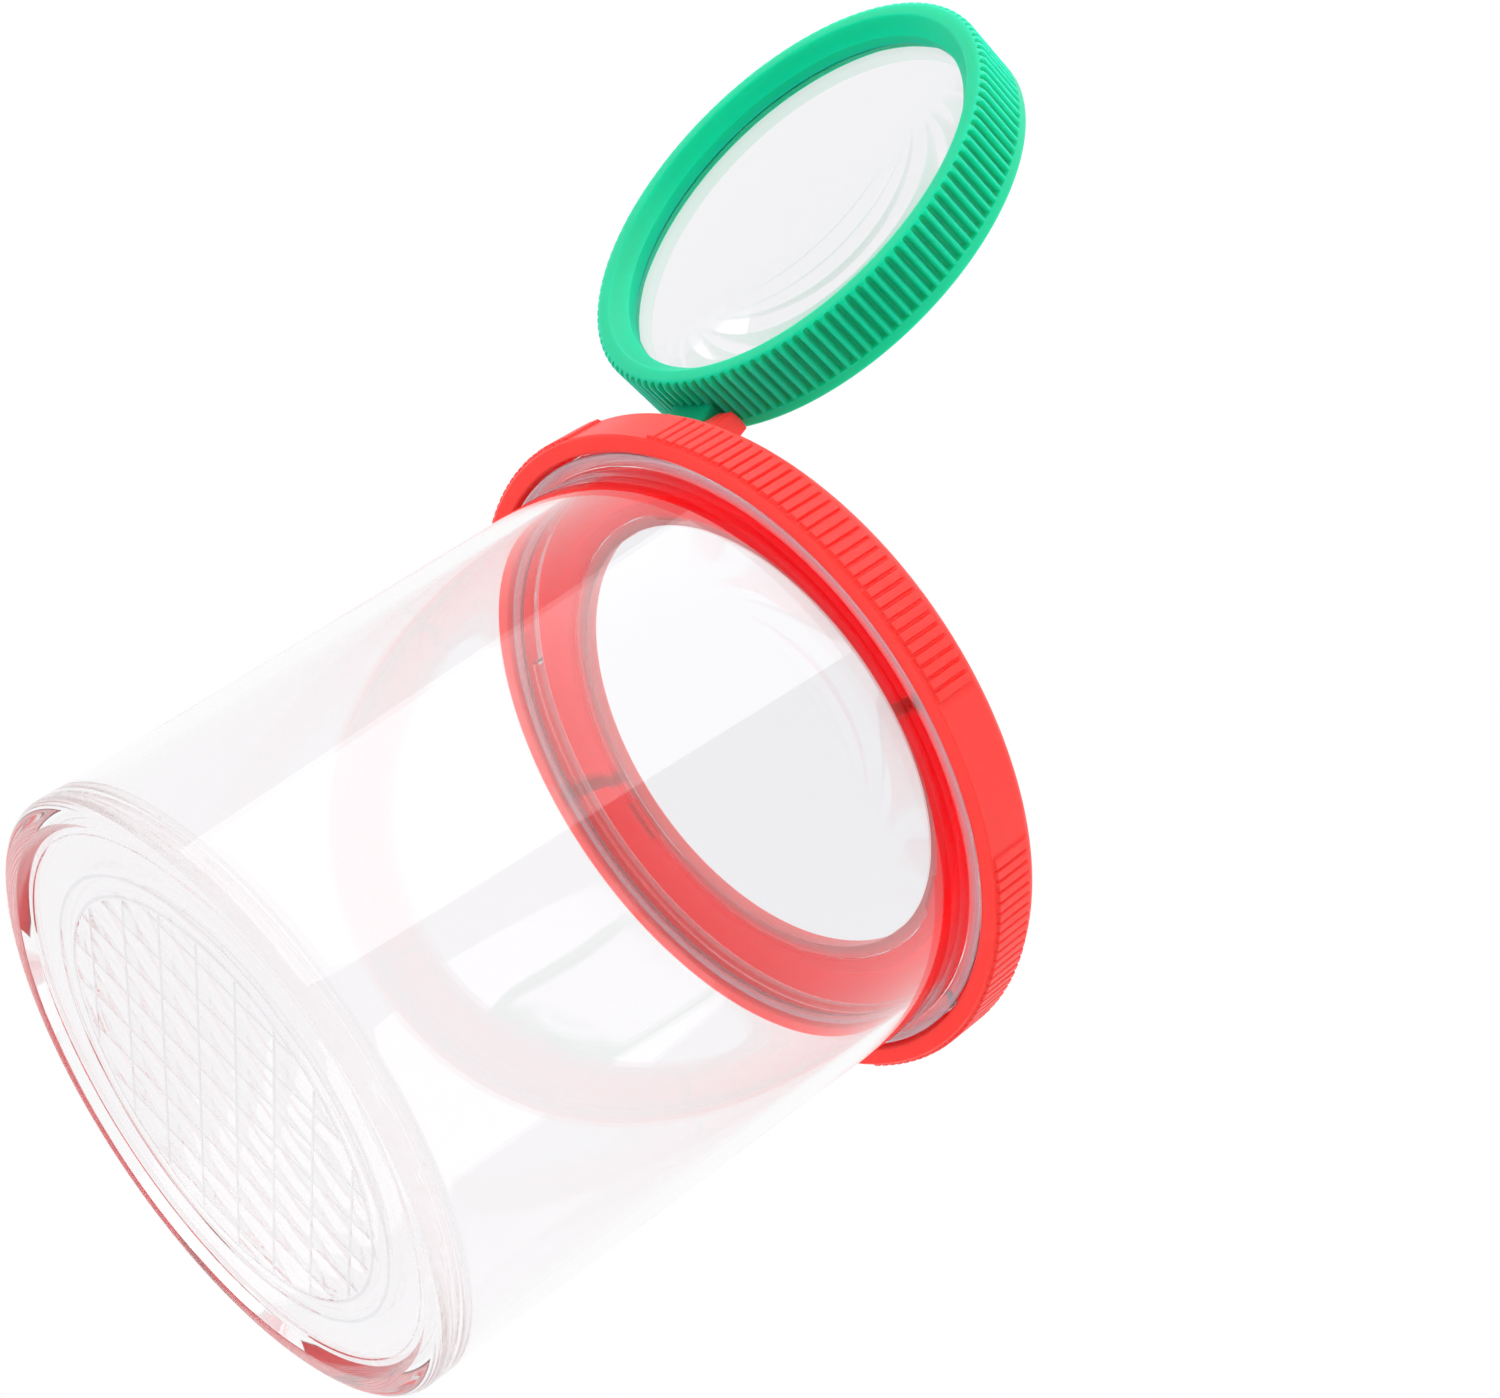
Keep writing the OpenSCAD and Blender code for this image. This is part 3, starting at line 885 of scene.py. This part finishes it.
@dataclass
class Hinge:
    """The snap hinge between the lid's ears and the flip ring, and how far the ring stands open."""

    azimuth: float = 205.0
    reach: float = 28.82
    height: float = 70.52
    seat_z: float = 68.75
    lid_top: float = 68.5
    open_angle: float = 119.7
    ear_front: float = 3.35
    ear_back: float = 2.6
    ear_rise: float = 4.8
    ear_round: float = 1.38
    ear_shoulder: float = 2.55
    corner_angles: tuple[float, float] = (45.0, 68.0)
    ear_tip_angle: float = 75.0
    ear_in: float = 3.05
    ear_t: float = 2.0
    ear_bevel: float = 0.3
    ear_root: float = 0.3
    swing_gap: float = 0.14
    pin_r: float = 1.3
    pin_gap: float = 0.08
    pin_ease: float = 0.25
    knuckle_r: float = 1.75
    knuckle_w: float = 5.6
    knuckle_bevel: float = 0.25
    core_r: float = 0.4
    arm_rise: float = 2.35
    arm_slope: float = 0.49
    arm_root: float = 0.9
    ring_r: float = 24.2

    def to_jar(self, opened: bool) -> Matrix:
        """The way from the hinge's own frame to the jar's.

        Args:
            opened: True for what rides on the ring, and so is turned open with it.

        Returns:
            The matrix that carries points there.
        """
        turn = Matrix.Rotation(np.radians(self.open_angle if opened else 0), 4, "Y")
        out = Matrix.Rotation(np.radians(self.azimuth), 4, "Z")
        return out @ Matrix.Translation((self.reach, 0, self.height)) @ turn

    def open_ring(self, surface: Surface) -> Surface:
        """Carry a surface drawn for the closed ring, about its seat, to where the ring stands open."""
        shift = Matrix.Translation((-self.reach, 0, self.seat_z - self.height))
        return moved_by(surface, self.to_jar(True) @ shift)

    def round_block(self, reach: Callable[[Array, Array], Array], hole: float, y0: float,
                    y1: float, bevel: float) -> Surface:
        """A block round the pin's axis whose outline is a distance from the axis at each angle.

        Args:
            reach: distance of the outline from the axis at each angle in degrees and each place along
                the axis, where 0 points away from the jar and 90 points up.
            hole: radius of the bore.
            y0: lower end along the axis.
            y1: upper end along the axis.
            bevel: easing of the outline's edges.

        Returns:
            The block in the hinge's own frame, with the axis along Y.
        """
        e = 0.15
        rows = outline([[0, y0 + e]], [[e, y0], [1 - bevel, y0]], [[1, y0 + bevel], [1, y1 - bevel]],
                       [[1 - bevel, y1], [e, y1], [0, y1 - e]])
        az = even_azimuths(144)

        def shape(r: Array, z: Array, a: Array) -> tuple[Array, Array]:
            """Spread the rows: those near 0 stand round the bore, and those near 1 at the outline."""
            far = reach(a, z)
            return hole + np.where(r > 0.5, far - hole - (1 - r), r), z

        return along_y(turned(rows, az, shape, loop=True))

    def ear(self, side: int) -> Surface:
        """An ear of the lid: a broad foot round the bore, a sloped shoulder and an upright round tip.

        Its tip is kept clear of the ring's wall, which lies reach - sqrt(ring_r squared - y squared) from
        the axis as the ring swings past the ear.

        Args:
            side: -1 for the left ear and 1 for the right one.

        Returns:
            The ear in the jar's frame.
        """
        drop = self.height - self.lid_top + self.ear_root
        mid_x, mid_z = self.ear_front - self.ear_round, self.ear_rise - self.ear_round
        low, high = self.corner_angles

        def reach(a: Array, y: Array) -> Array:
            """The least of the distances to the sides, foot, corner, top, shoulder and swinging ring.

            Args:
                a: angles in degrees.
                y: places along the axis.

            Returns:
                The outline's distance from the axis at each.
            """
            c, s = np.cos(np.radians(a)), np.sin(np.radians(a))
            sides = np.where(c > 0, self.ear_front, self.ear_back) / np.maximum(np.abs(c), TINY)
            deep = np.where(s < 0, drop / np.maximum(-s, TINY), FAR)
            along = mid_x * c + mid_z * s
            off = np.clip(self.ear_round**2 - mid_x**2 - mid_z**2 + along**2, 0, None)
            corner = np.where((a > low) & (a < high), along + np.sqrt(off), FAR)
            on_top = (a >= high) & (a <= self.ear_tip_angle)
            top = np.where(on_top, self.ear_rise / np.maximum(s, TINY), FAR)
            on_slope = (a > self.ear_tip_angle) & (a < 180)
            slope = np.where(on_slope, self.ear_shoulder / np.maximum(s - c, TINY), FAR)
            clear = self.reach - np.sqrt(self.ring_r**2 - y**2) - self.swing_gap
            return np.minimum.reduce([sides, deep, corner, top, slope, clear])

        ends = sorted((side * self.ear_in, side * (self.ear_in + self.ear_t)))
        block = self.round_block(reach, self.pin_r + self.pin_gap, ends[0], ends[1], self.ear_bevel)
        return moved_by(block, self.to_jar(False))

    def knuckle(self) -> Surface:
        """The green knuckle between the ears: a round end about the pins and an arm into the ring's wall.

        Returns:
            The knuckle in the jar's frame, with a narrow core left open, which the pins' shaft fills.
        """
        arm = self.reach - self.ring_r + self.arm_root

        def reach(a: Array, y: Array) -> Array:
            """The round end's radius, or the least of the distances to the arm's end, back and slope.

            Args:
                a: angles in degrees.
                y: places along the axis, which make no difference here.

            Returns:
                The outline's distance from the axis at each.
            """
            c, s = np.cos(np.radians(a)), np.sin(np.radians(a))
            long = arm / np.maximum(-c, TINY)
            under = self.knuckle_r / np.maximum(-s, TINY)
            over = np.minimum(self.arm_rise / np.maximum(s, TINY),
                              self.knuckle_r / np.maximum(s + self.arm_slope * c, TINY))
            return np.where(c > 0, self.knuckle_r, np.minimum(long, np.where(s > 0, over, under)))

        half = self.knuckle_w / 2
        block = self.round_block(reach, self.core_r, -half, half, self.knuckle_bevel)
        return moved_by(block, self.to_jar(True))

    def pins(self) -> Surface:
        """The two pins moulded on the knuckle, as one shaft with eased ends along the hinge's axis.

        Returns:
            The shaft in the jar's frame. Its ends stay as far inside the ears as they are eased.
        """
        r, e = self.pin_r, self.pin_ease
        end = self.ear_in + self.ear_t - e
        rows = outline([[0, -end], [r - e, -end], [r, -end + e], [r, end - e], [r - e, end], [0, end]])
        return moved_by(along_y(turned(rows, even_azimuths(48))), self.to_jar(True))


@dataclass
class FlipRing:
    """The green flip ring: a fluted wall, a narrow face dished down to the lens lip, and the lens pocket."""

    radius: float = 24.185
    thickness: float = 7.39
    opening_r: float = 20.85
    lip_z: float = 4.7
    lip_h: float = 1.25
    face_r: float = 22.05
    face_round: float = 0.75
    pocket_wall: float = 1.75
    flute_pitch: float = 3.0
    flute_depth: float = 0.5
    flute_low: float = 1.2
    flute_edge: float = 0.42
    flute_flank: float = 0.3
    run_out: float = 0.5
    lens_low_z: float = 2.82
    lens_play: float = 0.08
    sections: int = 1200

    def profile(self) -> Array:
        """Half section of the ring as a closed loop, from the pocket's lower edge outwards and up.

        Returns:
            (radius, height) rows.
        """
        pocket, snap_z = self.radius - self.pocket_wall, self.lens_low_z - self.lens_play
        mouth, low_round, soft, bead, e = 0.25, 0.37, 0.41, 0.44, 0.12
        bevel_z = self.lip_z + self.lip_h
        rows = np.concatenate([self.flute_low + self.run_out * np.linspace(0, 1, 7), [2.6, 3.8, 5.0, 6.0]])
        return outline(
            [pocket + mouth, 0], arc(self.radius - low_round, low_round, low_round, -90, 0, 6),
            np.column_stack([np.full(len(rows), self.radius), rows]),
            arc(self.radius - self.face_round, self.thickness - self.face_round, self.face_round, 4, 90, 14),
            arc(self.face_r + soft, self.thickness - soft, soft, 90, 138, 5),
            arc(self.opening_r + e, bevel_z - e, e, 138, 180, 4),
            [[self.opening_r, self.lip_z], [pocket, self.lip_z], [pocket, snap_z],
             [pocket - bead, snap_z - bead], [pocket, snap_z - 3 * bead]],
        )

    def flute_wave(self, az: Array) -> Array:
        """Depth of the flutes at each angle: 0 on a rib's crest, 1 on a flute's floor.

        The share is how far an angle lies from a flute's middle, in pitches: 0 there and 0.5 on a crest.
        The depth eases from nothing at flute_edge to the floor over flute_flank.

        Args:
            az: angles in degrees.

        Returns:
            A value from 0 to 1 for each angle.
        """
        share = np.abs(az / self.flute_pitch % 1 - 0.5)
        return smooth_step((self.flute_edge - share) / self.flute_flank)

    def pattern(self, r: Array, z: Array, az: Array) -> tuple[Array, Array]:
        """Sink the flutes into the outer wall: they run out through the face's rounded edge.

        At the back they end over the smooth band in a quarter round, so no point there moves, and on the
        face's edge only what stands out past a flute's floor is cut.

        Args:
            r: radii.
            z: heights.
            az: angles in degrees.

        Returns:
            The moved radii and the same heights.
        """
        low = np.clip((z - self.flute_low) / self.run_out, 0, 1)
        depth = self.flute_depth * self.flute_wave(az) * np.sqrt(1 - (1 - low) ** 2)
        return np.minimum(r, self.radius - depth), z

    def build(self, finish: Material, hinge: Hinge) -> list[Piece]:
        """Make the flip ring, its knuckle and its pins where the ring stands open.

        The flutes are darker by painted shade, and so are the knuckle and the pins. The face keeps the plain
        colour, which fades down the bevel to the inner one, a brighter green that also glows by painted
        light.

        Args:
            finish: the green plastic.
            hinge: where the ring hangs.

        Returns:
            The flip ring's objects.
        """
        az = even_azimuths(self.sections)
        verts, quads, tris = turned(self.profile(), az, self.pattern, loop=True)
        r, z = np.hypot(verts[:, 0], verts[:, 1]), verts[:, 2]
        off, face, fade = 0.1, 0.2, 0.3
        floor_r = self.radius - self.flute_depth
        on_wall = (z > self.flute_low) & (z < self.thickness - face) & (r > floor_r - off)
        # Painted shade: darker colour in the flutes.
        hollow = np.clip((self.radius - r) / self.flute_depth, 0, 1) * on_wall
        # Painted light: the inner colour and a painted glow down the bevel and the lip.
        inner = smooth_step((self.face_r - r) / fade) * (z < self.thickness - fade)
        ring = make_piece("flip_ring_body", hinge.open_ring((verts, quads, tris)))
        set_attributes(ring, hollow=hollow, inner=inner, soak=inner)
        pieces = [dressed(ring, finish, Body.FLIP, "green_ring", "flip_ring")]
        for name, surface in (("flip_knuckle", hinge.knuckle()), ("flip_pins", hinge.pins())):
            piece = make_piece(name, surface)
            # Painted shade: the knuckle and the pins take the darker colour all over.
            set_attributes(piece, hollow=1.0)
            pieces.append(dressed(piece, finish, Body.FLIP, "green_ring"))
        return pieces


@dataclass
class FlipLens:
    """The stronger lens of the flip ring: flat behind, a seat flange, and a dome towards the face."""

    flange_r: float = 22.37
    low_z: float = 2.82
    edge: float = 1.8
    top_r: float = 20.77
    top_sag: float = 2.4

    def build(self, finish: Material, hinge: Hinge) -> Piece:
        """Make the lens by turning its half section round the ring's axis, where the ring stands open.

        Args:
            finish: the clear plastic.
            hinge: where the ring hangs.

        Returns:
            The lens's object.
        """
        top = self.low_z + self.edge
        points = outline(lens_rows(self.flange_r, self.low_z, top), dome(self.top_r, top, self.top_sag))
        lens = make_piece("flip_lens_clear", hinge.open_ring(turned(points, even_azimuths(192))))
        return dressed(lens, finish, Body.FLIP, "clear_lens", "flip_lens")


def dressed(piece: Piece, finish: Material, body: Body, slot: str,
            *replaced: str) -> Piece:
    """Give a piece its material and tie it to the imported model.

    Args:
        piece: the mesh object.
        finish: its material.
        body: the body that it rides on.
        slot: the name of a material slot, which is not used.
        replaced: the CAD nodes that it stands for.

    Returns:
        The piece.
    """
    piece.data.materials.append(finish)
    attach(piece, body.value)
    if replaced:
        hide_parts(*replaced)
    LOG.info("%s: %d faces", piece.name, len(piece.data.polygons))
    return piece


@dataclass
class Studio:
    """Floor, lights and camera: a pale table under soft light, seen from where the photograph was taken.

    The eye is in millimetres, and the floor and the lamp are in metres, as Blender has them.
    """

    eye: tuple[float, float, float] = (0.0, -226.06, -79.963)
    right: tuple[float, float, float] = (0.56068849, -0.45016752, 0.69496592)
    down: tuple[float, float, float] = (0.82792102, 0.31820357, -0.46183685)
    ahead: tuple[float, float, float] = (-0.01323669, 0.83432349, 0.55111623)
    focal_px: float = 2714.71
    frame_px: float = 1500.0
    sensor: float = 36.0
    floor_size: float = 12.0
    floor_glow: float = 0.93
    room_fill: float = 0.97
    lamp_place: tuple[float, float, float] = (-0.35, -0.35, 0.45)
    lamp_aim: tuple[float, float, float] = (0.0, 0.0, 0.07)
    lamp_size: float = 0.8
    lamp_watts: float = 2.2
    bounces: int = 64

    def camera(self) -> None:
        """Place the camera: its axes are the photograph's right, up and back, and its lens fits the frame."""
        data = bpy.data.cameras.new("camera")
        data.sensor_width = self.sensor
        data.lens = self.sensor * self.focal_px / self.frame_px
        data.clip_start, data.clip_end = 0.01, 50
        camera = bpy.data.objects.new("camera", data)
        axes = np.array([self.right, -np.array(self.down), -np.array(self.ahead)])
        place = Matrix(axes.T.tolist()).to_4x4()
        place.translation = Vector(self.eye) * MM
        camera.matrix_world = place
        bpy.context.scene.collection.objects.link(camera)
        bpy.context.scene.camera = camera

    def floor(self) -> None:
        """Lay a pale matt table on z = 0, clear from below, where the photograph looks up through it.

        Rays that a clear wall bends or a face mirrors see the table as an even white.
        """
        h = self.floor_size / 2
        mesh = bpy.data.meshes.new("floor")
        mesh.from_pydata([(-h, -h, 0), (h, -h, 0), (h, h, 0), (-h, h, 0)], [], [(0, 1, 2, 3)])
        floor = bpy.data.objects.new("floor", mesh)
        bpy.context.scene.collection.objects.link(floor)
        mat, tree, out = new_material("pale_table")
        grain = node(tree, "TexNoise", {"Vector": object_coords(tree), "Scale": 60.0})
        tone = node(tree, "Mix", data_type="RGBA", inputs={
            0: grain.outputs["Fac"], 6: hex_colour("#F3F3F4"), 7: hex_colour("#F7F7F8")})
        matt = node(tree, "BsdfDiffuse", {"Color": tone.outputs[2]})
        white = node(tree, "Emission", {"Color": (1, 1, 1, 1), "Strength": self.floor_glow})
        path = node(tree, "LightPath")
        bent = node(tree, "Math", operation="MAXIMUM", inputs={
            0: path.outputs["Is Transmission Ray"], 1: path.outputs["Is Glossy Ray"]})
        top = node(tree, "MixShader", {0: bent, 1: matt, 2: white})
        clear = node(tree, "BsdfTransparent")
        side = node(tree, "NewGeometry")
        both = node(tree, "MixShader", {0: side.outputs["Backfacing"], 1: top, 2: clear})
        tree.links.new(both.outputs[0], out.inputs["Surface"])
        mesh.materials.append(mat)

    def world(self) -> None:
        """Fill the room with plain white light, and show plain white behind the object."""
        world = bpy.data.worlds.new("room")
        bpy.context.scene.world = world
        world.use_nodes = True
        tree = world.node_tree
        tree.nodes.clear()
        path = node(tree, "LightPath")
        seen = node(tree, "Math", operation="MAXIMUM", inputs={
            0: path.outputs["Is Camera Ray"], 1: path.outputs["Is Transmission Ray"]})
        seen = node(tree, "Math", operation="MAXIMUM", inputs={
            0: seen, 1: path.outputs["Is Glossy Ray"]})
        level = node(tree, "MapRange", {"Value": seen, "To Min": self.room_fill, "To Max": 1.0})
        sky = node(tree, "Background", {"Color": (1, 1, 1, 1), "Strength": level})
        out = node(tree, "OutputWorld")
        tree.links.new(sky.outputs[0], out.inputs["Surface"])

    def lamp(self) -> None:
        """Hang one soft square lamp, which faces the middle of the jar."""
        data = bpy.data.lights.new("key_lamp", "AREA")
        data.size, data.energy = self.lamp_size, self.lamp_watts
        lamp = bpy.data.objects.new("key_lamp", data)
        lamp.location = self.lamp_place
        facing = Vector(self.lamp_aim) - Vector(self.lamp_place)
        lamp.rotation_euler = facing.to_track_quat("-Z", "Y").to_euler()
        bpy.context.scene.collection.objects.link(lamp)

    def build(self) -> None:
        """Set up the whole studio, and let light cross the clear walls as often as it has to."""
        self.camera()
        self.floor()
        self.world()
        self.lamp()
        scene = bpy.context.scene
        scene.view_settings.view_transform = "Standard"
        for kind in ("max_bounces", "transmission_bounces", "glossy_bounces", "transparent_max_bounces"):
            setattr(scene.cycles, kind, self.bounces)


def main() -> None:
    """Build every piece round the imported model."""
    logging.basicConfig(level=logging.INFO, format="%(name)s: %(message)s")
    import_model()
    hinge = Hinge()
    Cup().build(CUP_PLASTIC.material())
    red = RED_PLASTIC.material()
    Lid().build(red, hinge)
    lens = LENS_PLASTIC.material()
    LidLens().build(lens)
    FlipRing().build(GREEN_PLASTIC.material(), hinge)
    FlipLens().build(lens, hinge)
    Studio().build()


if __name__ == "__main__":
    main()
